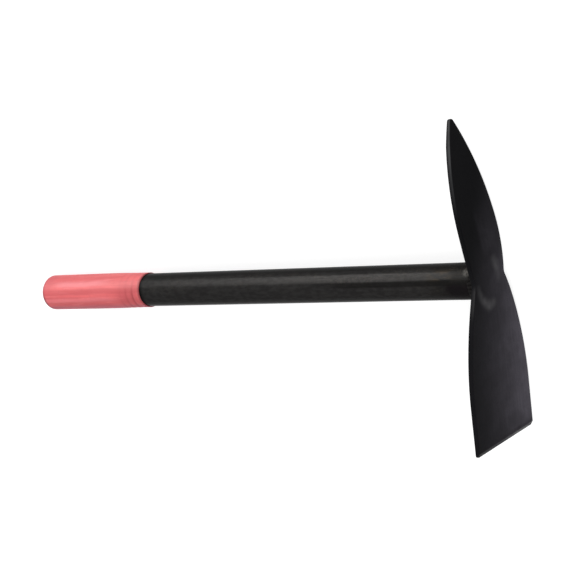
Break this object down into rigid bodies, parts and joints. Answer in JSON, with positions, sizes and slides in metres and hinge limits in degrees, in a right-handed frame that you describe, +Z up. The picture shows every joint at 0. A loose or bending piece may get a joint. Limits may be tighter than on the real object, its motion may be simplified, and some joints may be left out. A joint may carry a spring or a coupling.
{
  "type": "hand mattock",
  "caption": "Short hand mattock: a bent steel plate with a leaf-shaped pick and a flared hoe, welded across the end of a painted tube whose free end wears a soft vinyl sleeve.",
  "frame": {"origin": "on the floor under the middle of the box of the tool as it lies on its side, on the lower rims of both blades and the end of the sleeve", "axes": "+X along the handle from the sleeve to the head, +Y towards the pick's tip, +Z up from the floor"},
  "size_m": [0.4494, 0.2302, 0.0679],
  "materials": {
    "blade_paint": "satin black paint",
    "tube_paint": "semi-gloss black paint",
    "weld_paint": "uneven black paint",
    "vinyl": "satin soft vinyl"
  },
  "bodies": {
    "root": {"head_blade": "blade_paint", "handle_tube": "tube_paint", "head_weld": "weld_paint", "grip_sleeve": "vinyl"}
  },
  "joints": []
}
